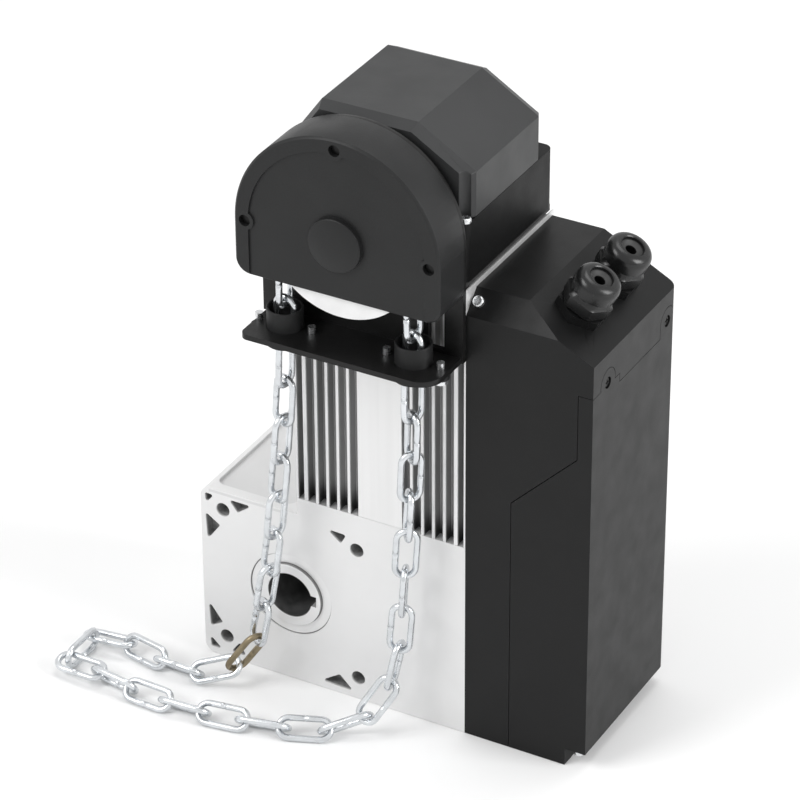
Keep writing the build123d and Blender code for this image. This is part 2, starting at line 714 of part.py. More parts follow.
# Chain wheel: a central slot for the upright links, shoulders with pockets for the flat ones
chain_radius = wheel_pitch / 2 / sin(pi / 2 / wheel_pockets)
link_mid_radius = chain_radius * cos(pi / 2 / wheel_pockets)
groove_half = link_width / 2 + 0.5
wheel_half = groove_half + 0.8
shoulder_radius = link_mid_radius - wire / 2 - free_gap
slot_radius = link_mid_radius - link_width / 2 - free_gap
rim_radius = 42.0
hub_radius = 12.0
web_radius = slot_radius - 3.0
web_half = 3.0
slot_half = wire / 2 + 0.4
pocket_sink = 1.6
pocket_height = 4.0
with BuildPart() as chain_wheel:
    with BuildSketch(Plane.XY.offset(hoist_z)):
        with BuildLine():
            Polyline(*[
                (hoist_x + r, chain_plane_y + y) for r, y in (
                    (hoist_shaft_radius, -hub_half), (hub_radius, -hub_half), (hub_radius, -web_half),
                    (web_radius, -web_half), (web_radius, -wheel_half),
                    (rim_radius, -wheel_half), (rim_radius, -groove_half), (shoulder_radius, -groove_half),
                    (shoulder_radius, -slot_half), (slot_radius, -slot_half),
                    (slot_radius, slot_half), (shoulder_radius, slot_half),
                    (shoulder_radius, groove_half), (rim_radius, groove_half), (rim_radius, wheel_half),
                    (web_radius, wheel_half), (web_radius, web_half), (hub_radius, web_half),
                    (hub_radius, hub_half), (hoist_shaft_radius, hub_half),
                )
            ], close=True)
        make_face()
    revolve(axis=hoist_axis)
    for pocket in range(wheel_pockets):
        angle = radians(90 + 360 / wheel_pockets * pocket)
        outward = Vector(cos(angle), 0, sin(angle))
        pocket_plane = Plane(
            origin=Vector(hoist_x, chain_plane_y, hoist_z) + outward * (shoulder_radius - pocket_sink),
            x_dir=(0, 1, 0), z_dir=outward,
        )
        with BuildSketch(pocket_plane):
            Rectangle(2 * groove_half - 0.4, wheel_pitch + wire)
        extrude(amount=pocket_height, mode=Mode.SUBTRACT)
chain_wheel.part.label = "chain_wheel"
export_step(chain_wheel.part, "parts/chain_wheel.step")


# Chain guides: plastic bushes in the flange, each held by two screws
def chain_guide(x):
    with BuildPart() as guide:
        with BuildSketch(Plane.XY.offset(flange_bottom)):
            with Locations((x, chain_plane_y)):
                Circle(guide_radius)
        extrude(amount=flange_top + guide_rise - flange_bottom)
        with BuildSketch(Plane.XY.offset(flange_bottom - 2.5)):
            with Locations((x, chain_plane_y)):
                SlotCenterToCenter(guide_screw_spacing, 9.0)
                Circle(guide_radius + 2.0)
        extrude(amount=2.5)
        with BuildSketch(Plane.XY.offset(flange_bottom - guide_drop)):
            with Locations((x, chain_plane_y)):
                Circle(guide_radius + 1.0)
        extrude(amount=guide_drop)
        with BuildSketch(Plane.XY.offset(flange_bottom - guide_drop)):
            with Locations((x, chain_plane_y)):
                Circle(guide_bore_radius)
            with Locations((x - guide_screw_spacing / 2, chain_plane_y), (x + guide_screw_spacing / 2, chain_plane_y)):
                Circle(2.1)
        extrude(amount=guide_drop + plate_thickness + guide_rise, mode=Mode.SUBTRACT)
    return guide.part


left_chain_guide = chain_guide(guide_xs[0])
left_chain_guide.label = "left_chain_guide"
export_step(left_chain_guide, "parts/left_chain_guide.step")

right_chain_guide = chain_guide(guide_xs[1])
right_chain_guide.label = "right_chain_guide"
export_step(right_chain_guide, "parts/right_chain_guide.step")

with BuildPart() as guide_screws:
    for x in guide_xs:
        for side in (-1, 1):
            place = (x + side * guide_screw_spacing / 2, chain_plane_y)
            with BuildSketch(Plane.XY.offset(flange_bottom - 5.0)):
                with Locations(place):
                    Circle(3.4)
            extrude(amount=2.5)
            with BuildSketch(Plane.XY.offset(flange_bottom - 5.0)):
                with Locations(place):
                    Circle(2.0)
            extrude(amount=5.0 + plate_thickness + 3.5)
guide_screws.part.label = "guide_screws"
export_step(guide_screws.part, "parts/guide_screws.step")


# Hand chain: one link, and the closed route that the links follow over the wheel and across the floor
def link_ring(half_length, half_width):
    """Corner points of a link's outline: two straight sides and four chords round each end."""
    points = []
    for end in (1, -1):
        for step in range(5):
            angle = radians(-90 + 45 * step)
            points.append((
                end * (half_length - half_width + half_width * cos(angle)), end * half_width * sin(angle),
            ))
    return points


with BuildPart() as chain_link:
    with BuildSketch():
        Polygon(*link_ring(link_inner_length / 2 + wire, link_width / 2), align=None)
        Polygon(*link_ring(link_inner_length / 2, link_width / 2 - wire), align=None, mode=Mode.SUBTRACT)
    extrude(amount=wire / 2, both=True)
    chamfer(chain_link.edges().filter_by(Axis.Z, reverse=True), wire * (1 - sqrt(0.5)))

# Route of the chain: from each side of the wheel down and over the floor to the turn link on the far left
ground_gap = 0.1
link_half_span = (link_width - wire) / 2


def lying_height(twist):
    """Height of the chain's centre line on the floor, where its links are rolled by this angle."""
    tilt = radians(twist)
    return gear_bottom + ground_gap + wire / 2 + link_half_span * max(abs(sin(tilt)), abs(cos(tilt)))


rolled = 45.0
floor_end_reach = 2.9
floor_z = lying_height(rolled)
wheel_left = hoist_x - chain_radius
wheel_right = hoist_x + chain_radius
left_route = Spline(
    (wheel_left, chain_plane_y, hoist_z), (10.6, chain_plane_y, 200), (9.8, -16, 150), (7, -16, 110),
    (3.5, -16.5, 70), (-1.2, -17, 30), (-7.5, -17.5, -8), (-12.5, -18, -27), (-19, -20, -36.5),
    (-28, -22.5, -44), (-38, -26, -47.2), (-50, -28.6, floor_z), (-66, -26.5, floor_z), (-84, -22.5, floor_z), (-109.5, -25.5, floor_z),
    tangents=((0, 0, -1), (-1, 0, 0)),
)
right_route = Spline(
    (wheel_right, chain_plane_y, hoist_z), (82.6, -16, 190), (82.4, -16, 160), (81.5, -16, 120),
    (79, -16, 75), (76, -16, 30), (73, -17, -6), (71, -18, -17), (67.5, -20.5, -28), (62, -26, -37.5),
    (55, -32, -44.3), (46, -37.5, -47.2), (36, -42, floor_z),
    (18, -48.5, floor_z), (-4, -53, floor_z), (-26, -56, floor_z), (-48, -56.8, floor_z),
    (-70, -55.5, floor_z), (-91, -52.5, floor_z), (-109.5, -52.5, floor_z),
    tangents=((0, 0, -1), (-1, 0, 0)),
)


def joints_along(line, hanging, lying):
    """Joints between links: evenly taut where the chain hangs, evenly slack where it lies."""
    lying_pitch = (line.length - hanging * hanging_pitch) / lying
    distances = [hanging_pitch * k for k in range(hanging + 1)]
    distances += [hanging * hanging_pitch + lying_pitch * (k + 1) for k in range(lying)]
    return [line @ (distance / line.length) for distance in distances]


left_hanging = 12
right_hanging = 12
left_lying = 4
right_lying = 8
turn_link = left_hanging + left_lying
last_free_link = turn_link + right_hanging + right_lying
joints = joints_along(left_route, left_hanging, left_lying)
joints += joints_along(right_route, right_hanging, right_lying)[::-1]
for step in range(1, wheel_pockets):
    angle = pi / wheel_pockets * step
    joints.append(Vector(
        hoist_x + chain_radius * cos(angle), chain_plane_y, hoist_z + chain_radius * sin(angle),
    ))
link_count = len(joints)
joints.append(joints[0])


def along(k):
    """Direction of link number k."""
    return (joints[k + 1] - joints[k]).normalized()


def square_to(side, axis):
    """The part of side that is square to axis, one long."""
    return (side - axis * side.dot(axis)).normalized()


# Side direction of each free link, carried without twist from the turn link both ways
sides = {turn_link: Vector(0, 0, 1).cross(along(turn_link)).normalized()}
for k in range(turn_link - 1, -1, -1):
    sides[k] = square_to(sides[k + 1], along(k))
for k in range(turn_link + 1, last_free_link + 1):
    sides[k] = square_to(sides[k - 1], along(k))


def twist_to_wheel(k):
    """Twist that turns an end link into the wheel's plane, where its normal is along Y."""
    up = along(k).cross(sides[k])
    return degrees(atan2(up.Y, sides[k].Y)) % 180


def twist_of(k):
    """Twist of link number k, on straight lines between the ends, the landing and the turn."""
    knots = (
        (0, twist_to_wheel(0)), (left_hanging, rolled), (turn_link - 3, rolled), (turn_link, 0.0),
        (turn_link + 3, rolled), (last_free_link - right_hanging, rolled),
        (last_free_link, twist_to_wheel(last_free_link)),
    )
    for (start, first), (end, last) in zip(knots, knots[1:]):
        if k <= end:
            return first + (last - first) * (k - start) / (end - start)


def link_plane(k):
    """Plane of link number k: each link is rolled by a quarter turn from the one before it."""
    middle = (joints[k] + joints[k + 1]) / 2
    if k > last_free_link:
        normal = Vector(0, 1, 0) if (k - last_free_link) % 2 == 0 else Vector(0, 1, 0).cross(along(k))
        return Plane(origin=middle, x_dir=along(k), z_dir=normal)
    if k == turn_link:
        before = joints[k] - along(k - 1) * floor_end_reach
        after = joints[k + 1] + along(k + 1) * floor_end_reach
        middle = (before + after) / 2
    roll = radians(90 * (k - turn_link) + twist_of(k))
    normal = sides[k] * cos(roll) + along(k).cross(sides[k]) * sin(roll)
    height = max(middle.Z, lying_height(twist_of(k)))
    return Plane(origin=(middle.X, middle.Y, height), x_dir=along(k), z_dir=normal)


repair_number = 11
with BuildPart() as hand_chain:
    with Locations(*[link_plane(k) for k in range(link_count) if k != repair_number]):
        add(chain_link.part)
hand_chain.part.label = "hand_chain"
export_step(hand_chain.part, "parts/hand_chain.step")

with BuildPart() as repair_link:
    with Locations(link_plane(repair_number)):
        add(chain_link.part)
repair_link.part.label = "repair_link"
export_step(repair_link.part, "parts/repair_link.step")

# Control box: one outline in X and Z, shared by its shell, its cover and the split between them
box_left = gear_right
notch_x = box_right - foot_notch_width
notch_z = gear_bottom + foot_notch_height


def box_outline():
    """Outline of the control box seen from the front."""
    with BuildLine() as line:
        Polyline(
            (box_left, gear_bottom), (notch_x, gear_bottom), (notch_x, notch_z), (box_right, notch_z),
            (box_right, box_corner_z), (box_shoulder_x, box_shoulder_z), (box_left, box_shoulder_z), close=True,
        )
    return line.line


def above_roof_edge(inset):
    """Wedge above the slanting front edge of the roof, moved inwards by inset; it fades out down the roof."""
    edge_z = box_shoulder_z - box_chamfer - inset * sqrt(2)
    reach = 2 * box_chamfer
    with BuildPart() as wedge:
        with BuildSketch(Plane.YZ.offset(box_left)):
            Polygon((-reach, edge_z - reach), (reach, edge_z + reach), (-reach, edge_z + reach), align=None)
        extrude(amount=box_right - box_left)
    return wedge.part


with BuildPart(mode=Mode.PRIVATE) as box_hollow:
    with BuildSketch(front_plane(box_wall)):
        with BuildLine():
            add(box_outline())
        make_face()
        offset(amount=-box_wall, kind=Kind.INTERSECTION, mode=Mode.REPLACE)
    extrude(amount=-(box_depth - 2 * box_wall))
    add(above_roof_edge(box_wall), mode=Mode.SUBTRACT)

with BuildPart(mode=Mode.PRIVATE) as box_shell:
    with BuildSketch(front_plane(0)):
        with BuildLine():
            add(box_outline())
        make_face()
    extrude(amount=-box_depth)
    back_edges = box_shell.edges().filter_by(Axis.Z).group_by(Axis.X)[-1].sort_by(Axis.Y)
    fillet(back_edges[-1], 4.0)
    add(above_roof_edge(0), mode=Mode.SUBTRACT)
    add(box_hollow.part, mode=Mode.SUBTRACT)


def cover_region(gap):
    """Solid that holds the removable cover: right of and below the stepped split, moved back by gap."""
    with BuildPart() as region:
        with BuildSketch(front_plane(-1)):
            with BuildLine():
                Polyline(
                    (split_low_x + gap, gear_bottom - 1), (split_low_x + gap, split_low_z - gap),
                    (split_high_x + gap, split_high_z - gap), (split_high_x + gap, split_top_z - gap),
                    (box_right + 1, split_top_z - gap), (box_right + 1, gear_bottom - 1), close=True,
                )
            make_face()
        extrude(amount=-(box_depth + 2))
        # the edge is lower along the middle of the right side and arches up round the two side screws
        with BuildSketch(Plane.YZ.offset(split_high_x)):
            with Locations(((side_dip_front + side_dip_back) / 2, (side_dip_z + split_top_z) / 2 - gap)):
                Rectangle(side_dip_back - side_dip_front + 2 * gap, split_top_z - side_dip_z)
        extrude(amount=box_right + 1 - split_high_x, mode=Mode.SUBTRACT)
        with BuildSketch(Plane.YZ.offset(box_right - box_wall)):
            with Locations(*side_screw_places):
                Circle(arch_radius - gap)
        extrude(amount=box_wall + 1)
    return region.part


with BuildPart() as control_housing:
    add(box_shell.part)
    add(cover_region(0), mode=Mode.SUBTRACT)
    gland_tilt = degrees(atan2(box_shoulder_z - box_corner_z, box_right - box_shoulder_x))
    gland_x = (box_shoulder_x + box_right) / 2 - 1.8
    gland_z = box_shoulder_z - (gland_x - box_shoulder_x) * tan(radians(gland_tilt))
    gland_ys = (box_depth / 2 - gland_spacing / 2, box_depth / 2 + gland_spacing / 2)
    gland_out = Vector(sin(radians(gland_tilt)), 0, cos(radians(gland_tilt)))
    for y in gland_ys:
        with BuildSketch(Plane(origin=(gland_x, y, gland_z), x_dir=(0, 1, 0), z_dir=gland_out)):
            Circle(gland_hole_radius)
        extrude(amount=-3 * box_wall, mode=Mode.SUBTRACT)
control_housing.part.label = "control_housing"
export_step(control_housing.part, "parts/control_housing.step")

with BuildPart() as control_cover:
    add(box_shell.part)
    add(cover_region(split_gap), mode=Mode.INTERSECT)
    with BuildSketch(Plane.YZ.offset(box_right)):
        with Locations(*side_screw_places):
            Circle(screw_head_radius + free_gap)
    extrude(amount=-side_screw_sink, mode=Mode.SUBTRACT)
control_cover.part.label = "control_cover"
export_step(control_cover.part, "parts/control_cover.step")


# Screws of the control box: two in the side, one on the slanting roof edge, one under the foot notch
roof_screw_x = 107.0
roof_screw_y = 5.8
roof_screw_rise = 0.8
foot_screw_inset = 5.5
foot_screw_drop = 5.0
roof_screw_plane = Plane(
    origin=(roof_screw_x, roof_screw_y, box_shoulder_z - box_chamfer + roof_screw_y),
    x_dir=(1, 0, 0), z_dir=(0, -1, 1),
)
with BuildPart() as box_screws:
    with BuildSketch(Plane.YZ.offset(box_right - side_screw_sink)):
        with Locations(*side_screw_places):
            Circle(screw_head_radius)
    extrude(amount=side_screw_sink - free_gap)
    with BuildSketch(roof_screw_plane):
        Circle(screw_head_radius)
    extrude(amount=roof_screw_rise)
    with BuildSketch(Plane.XY.offset(notch_z)):
        with Locations((notch_x + foot_screw_inset, foot_screw_inset)):
            Circle(screw_head_radius)
    extrude(amount=-foot_screw_drop)
box_screws.part.label = "box_screws"
export_step(box_screws.part, "parts/box_screws.step")

# Inside the control box: circuit board on spacers, transformer, contactors and terminal strip
board_x = box_left + box_wall + 8.0
board_bottom = gear_bottom + 20.0
board_height = 190.0
board_width = 72.0
with BuildPart() as control_board:
    with BuildSketch(Plane.YZ.offset(board_x)):
        with Locations((box_depth / 2, board_bottom + board_height / 2)):
            Rectangle(board_width, board_height)
            with GridLocations(board_width - 10, board_height - 10, 2, 2):
                Circle(1.6, mode=Mode.SUBTRACT)
    extrude(amount=1.6)
control_board.part.label = "control_board"
export_step(control_board.part, "parts/control_board.step")

with BuildPart() as board_spacers:
    with BuildSketch(Plane.YZ.offset(box_left + box_wall)):
        with Locations((box_depth / 2, board_bottom + board_height / 2)):
            with GridLocations(board_width - 10, board_height - 10, 2, 2):
                RegularPolygon(3.5, 6)
    extrude(amount=board_x - box_left - box_wall)
board_spacers.part.label = "board_spacers"
export_step(board_spacers.part, "parts/board_spacers.step")

board_face = board_x + 1.6
with BuildPart() as transformer:
    with BuildSketch(Plane.YZ.offset(board_face)):
        with Locations((box_depth / 2, board_bottom + 34.0)):
            Rectangle(44.0, 36.0)
    extrude(amount=36.0)
    with BuildSketch(Plane.YZ.offset(board_face)):
        with Locations((box_depth / 2, board_bottom + 34.0)):
            Rectangle(52.0, 20.0)
    extrude(amount=30.0)
transformer.part.label = "transformer"
export_step(transformer.part, "parts/transformer.step")

with BuildPart() as contactors:
    with BuildSketch(Plane.YZ.offset(board_face)):
        with Locations((box_depth / 2, board_bottom + 88.0)):
            with GridLocations(30.0, 1.0, 2, 1):
                Rectangle(24.0, 34.0)
    extrude(amount=28.0)
contactors.part.label = "contactors"
export_step(contactors.part, "parts/contactors.step")

with BuildPart() as terminal_strip:
    with BuildSketch(Plane.YZ.offset(board_face)):
        with Locations((box_depth / 2, board_bottom + board_height - 26.0)):
            Rectangle(60.0, 12.0)
    extrude(amount=14.0)
    with BuildSketch(Plane.YZ.offset(board_face + 14.0)):
        with Locations((box_depth / 2, board_bottom + board_height - 26.0)):
            with GridLocations(6.0, 1.0, 9, 1):
                Rectangle(3.6, 7.0)
    extrude(amount=-5.0, mode=Mode.SUBTRACT)
terminal_strip.part.label = "terminal_strip"
export_step(terminal_strip.part, "parts/terminal_strip.step")


# Cable glands on the slanting roof: body through the wall, locknut inside, cap nut outside
def gland_plane(y, height):
    """Sketch plane square to the gland's axis, at this height above the roof."""
    centre = Vector(gland_x, y, gland_z) + gland_out * height
    return Plane(origin=centre, x_dir=(0, 1, 0), z_dir=gland_out)


cable_radius = 5.0
gland_collar = 5.0
gland_thread_in = 7.0
gland_thread_out = 8.0
gland_nut_start = gland_collar + 0.4
gland_hex_height = 7.0
gland_dome_start = gland_nut_start + gland_hex_height
gland_dome_shoulder = gland_height - 4.5
gland_dome_break = gland_height - 1.9
gland_dome_radius = gland_hex / 2 - 0.4
gland_seal_start = gland_collar + gland_thread_out + 0.3
gland_seal_length = 8.7
gland_locknut_height = 4.5
bottom_centred = (Align.CENTER, Align.CENTER, Align.MIN)
for name, y in zip(("front", "rear"), gland_ys):
    with BuildPart() as gland_body:
        with BuildSketch(gland_plane(y, 0)):
            RegularPolygon(gland_hex / 2, 6, major_radius=False)
        extrude(amount=gland_collar)
        with BuildSketch(gland_plane(y, -box_wall - gland_thread_in)):
            Circle(gland_hole_radius - 0.15)
        extrude(amount=box_wall + gland_thread_in)
        with BuildSketch(gland_plane(y, gland_collar)):
            Circle(gland_hole_radius - 0.6)
        extrude(amount=gland_thread_out)
        with BuildSketch(gland_plane(y, gland_collar + gland_thread_out)):
            Circle(cable_radius + 0.5)
        extrude(amount=-(gland_collar + gland_thread_out + gland_thread_in + box_wall), mode=Mode.SUBTRACT)
    gland_body.part.label = f"{name}_gland_body"
    export_step(gland_body.part, f"parts/{name}_gland_body.step")

    with BuildPart() as gland_nut:
        with BuildSketch(gland_plane(y, gland_nut_start)):
            RegularPolygon(gland_hex / 2 - 0.2, 6, major_radius=False)
        extrude(amount=gland_hex_height)
        with BuildSketch(gland_plane(y, gland_dome_start)):
            Circle(gland_dome_radius)
        extrude(amount=gland_dome_shoulder - gland_dome_start)
        with Locations(gland_plane(y, gland_dome_shoulder)):
            Cone(gland_dome_radius, gland_dome_radius - 1.3, gland_dome_break - gland_dome_shoulder,
                 align=bottom_centred)
        with Locations(gland_plane(y, gland_dome_break)):
            Cone(gland_dome_radius - 1.3, gland_dome_radius - 4.2, gland_height - gland_dome_break,
                 align=bottom_centred)
        with BuildSketch(gland_plane(y, gland_nut_start)):
            Circle(gland_hole_radius - 0.3)
        extrude(amount=gland_seal_start - gland_nut_start, mode=Mode.SUBTRACT)
        with BuildSketch(gland_plane(y, gland_height)):
            Circle(cable_radius + 1.0)
        extrude(amount=-gland_height, mode=Mode.SUBTRACT)
    gland_nut.part.label = f"{name}_gland_nut"
    export_step(gland_nut.part, f"parts/{name}_gland_nut.step")

    with BuildPart() as gland_seal:
        with BuildSketch(gland_plane(y, gland_seal_start)):
            Circle(cable_radius + 0.9)
            Circle(cable_radius, mode=Mode.SUBTRACT)
        extrude(amount=gland_seal_length)
    gland_seal.part.label = f"{name}_gland_seal"
    export_step(gland_seal.part, f"parts/{name}_gland_seal.step")

with BuildPart() as gland_locknuts:
    for y in gland_ys:
        with BuildSketch(gland_plane(y, -box_wall)):
            RegularPolygon(gland_hex / 2, 6, major_radius=False)
            Circle(gland_hole_radius, mode=Mode.SUBTRACT)
        extrude(amount=-gland_locknut_height)
gland_locknuts.part.label = "gland_locknuts"
export_step(gland_locknuts.part, "parts/gland_locknuts.step")
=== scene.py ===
import json
from math import cos, pi, radians, sin

import bmesh
import bpy
import numpy as np
from mathutils import Matrix, Quaternion, Vector


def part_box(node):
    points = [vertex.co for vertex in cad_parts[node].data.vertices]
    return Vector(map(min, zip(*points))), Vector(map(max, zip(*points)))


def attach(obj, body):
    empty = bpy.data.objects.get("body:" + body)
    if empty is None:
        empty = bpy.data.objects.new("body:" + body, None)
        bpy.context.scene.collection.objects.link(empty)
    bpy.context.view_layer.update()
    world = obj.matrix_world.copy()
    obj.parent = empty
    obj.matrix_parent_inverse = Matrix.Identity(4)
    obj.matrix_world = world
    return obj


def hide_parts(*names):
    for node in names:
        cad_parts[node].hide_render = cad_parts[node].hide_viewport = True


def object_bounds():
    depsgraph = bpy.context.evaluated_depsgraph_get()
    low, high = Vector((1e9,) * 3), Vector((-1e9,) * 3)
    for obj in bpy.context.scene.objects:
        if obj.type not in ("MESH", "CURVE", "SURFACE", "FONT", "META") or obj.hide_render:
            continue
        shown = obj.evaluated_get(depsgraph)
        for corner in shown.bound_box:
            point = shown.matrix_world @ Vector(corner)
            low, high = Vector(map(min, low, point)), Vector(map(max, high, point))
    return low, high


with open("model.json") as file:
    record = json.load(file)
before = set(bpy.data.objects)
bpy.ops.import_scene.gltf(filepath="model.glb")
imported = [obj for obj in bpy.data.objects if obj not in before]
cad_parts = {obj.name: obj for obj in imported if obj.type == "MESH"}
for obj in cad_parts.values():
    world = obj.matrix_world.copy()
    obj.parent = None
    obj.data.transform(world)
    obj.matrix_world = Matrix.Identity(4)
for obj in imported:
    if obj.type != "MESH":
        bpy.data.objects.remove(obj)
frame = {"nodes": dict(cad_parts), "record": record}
nodes = frame["nodes"]
cad_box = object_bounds()

# Camera: its angles, distance and aim were fitted to the straight edges of the object
camera_azimuth = radians(-29.14)
camera_elevation = radians(31.58)
camera_roll = radians(-0.37)
camera_distance = 1.9862
camera_aim = Vector((0.0660, 0.0, 0.1381))
camera_lens = 179.9

# Chain links, in metres
wire_radius = 0.0017
link_outer_length = 0.0310
link_outer_width = 0.0140
wheel_pockets = 5
wheel_pitch = 0.0220
wheel_centre = Vector((0.0465, -0.0160, 0.2350))

# Weld in the middle of a link's side: each place as a share of half the side, and the wire's size as a factor
weld_shape = ((0.3, 1.0), (0.05, 1.03), (0.02, 0.86), (-0.02, 0.86), (-0.05, 1.03), (-0.3, 1.0))

# Cable glands: foot of their axes on the slanting roof, and the way they point
gland_x = 0.1505
gland_z = 0.19843
gland_out = (0.45942, 0.0, 0.88822)
gland_turn = pi / 6

# Where the gearbox's front is sunk, in metres, which gets painted shade: pockets and holes, and how soft the
# change to the painted shade is
pocket_margin = 0.0022
pocket_right = 0.0600
pocket_top = 0.0485
pocket_reach = 0.0300
pocket_blend = 0.0016
front_skin = 0.0002

# The sunk panel in the gearbox's top
panel_low = 0.0488
panel_high = 0.0508
panel_inset = 0.005
panel_right = -0.0005

# Grooves of the motor body, which get painted shade: skin that stays bright, and the stretch of painted
# shadow, near black, at their foot
fin_skin = 0.0003
fin_side_skin = 0.0005
fin_blend = 0.0015
foot_fade_top = 0.016
foot_fade_bottom = 0.001

# Studio: the floor lies just under the object, and the surround gives an even light
floor_drop = 0.0002
floor_reach = 6.0
floor_value = 0.93
surround_strength = 0.55


def make_camera():
    """The camera at the photograph's angle, turned a little about its own axis."""
    away = Vector((
        -sin(camera_azimuth) * cos(camera_elevation), -cos(camera_azimuth) * cos(camera_elevation),
        sin(camera_elevation),
    ))
    data = bpy.data.cameras.new("studio_camera")
    data.lens = camera_lens
    data.sensor_width = 36.0
    data.clip_end = 20.0
    camera = bpy.data.objects.new("studio_camera", data)
    bpy.context.scene.collection.objects.link(camera)
    turn = away.to_track_quat("Z", "Y") @ Quaternion((0, 0, 1), camera_roll)
    camera.matrix_world = Matrix.Translation(camera_aim + away * camera_distance) @ turn.to_matrix().to_4x4()
    bpy.context.scene.camera = camera


def area_light(name, place, aim, size, power):
    """A square soft box at place, turned towards aim."""
    data = bpy.data.lights.new(name, "AREA")
    data.shape = "SQUARE"
    data.size = size
    data.energy = power
    light = bpy.data.objects.new(name, data)
    bpy.context.scene.collection.objects.link(light)
    light.location = place
    light.rotation_euler = (Vector(aim) - Vector(place)).to_track_quat("-Z", "Y").to_euler()


def white_for_the_eye(tree, seen, lit):
    """Mixes two shaders: seen where the camera, a reflection or a clear material looks, lit for all else."""
    path = tree.nodes.new("ShaderNodeLightPath")
    either = tree.nodes.new("ShaderNodeMath")
    either.operation = "MAXIMUM"
    any_of = tree.nodes.new("ShaderNodeMath")
    any_of.operation = "MAXIMUM"
    tree.links.new(path.outputs["Is Camera Ray"], either.inputs[0])
    tree.links.new(path.outputs["Is Glossy Ray"], either.inputs[1])
    tree.links.new(either.outputs[0], any_of.inputs[0])
    tree.links.new(path.outputs["Is Transmission Ray"], any_of.inputs[1])
    mix = tree.nodes.new("ShaderNodeMixShader")
    tree.links.new(any_of.outputs[0], mix.inputs[0])
    tree.links.new(lit, mix.inputs[1])
    tree.links.new(seen, mix.inputs[2])
    return mix.outputs[0]


def make_world():
    """An even pale surround that shows as white behind the object."""
    world = bpy.data.worlds.new("studio_world")
    bpy.context.scene.world = world
    world.use_nodes = True
    tree = world.node_tree
    lit = tree.nodes["Background"]
    lit.inputs["Color"].default_value = (1.0, 1.0, 1.0, 1.0)
    lit.inputs["Strength"].default_value = surround_strength
    seen = tree.nodes.new("ShaderNodeBackground")
    seen.inputs["Color"].default_value = (1.0, 1.0, 1.0, 1.0)
    seen.inputs["Strength"].default_value = 1.0
    shader = white_for_the_eye(tree, seen.outputs[0], lit.outputs[0])
    tree.links.new(shader, tree.nodes["World Output"].inputs["Surface"])


def make_floor():
    """A wide plain floor at the height of the gearbox's underside, pale enough to read as white."""
    height = cad_box[0][2] - floor_drop
    mesh = bpy.data.meshes.new("studio_floor")
    corners = [
        (-floor_reach, -floor_reach, height), (floor_reach, -floor_reach, height),
        (floor_reach, floor_reach, height), (-floor_reach, floor_reach, height),
    ]
    mesh.from_pydata(corners, [], [(0, 1, 2, 3)])
    floor = bpy.data.objects.new("studio_floor", mesh)
    bpy.context.scene.collection.objects.link(floor)
    material = bpy.data.materials.new("studio_floor")
    material.use_nodes = True
    shader = material.node_tree.nodes["Principled BSDF"]
    shader.inputs["Base Color"].default_value = (floor_value, floor_value, floor_value, 1.0)
    shader.inputs["Roughness"].default_value = 0.9
    shader.inputs["Specular IOR Level"].default_value = 0.1
    mesh.materials.append(material)


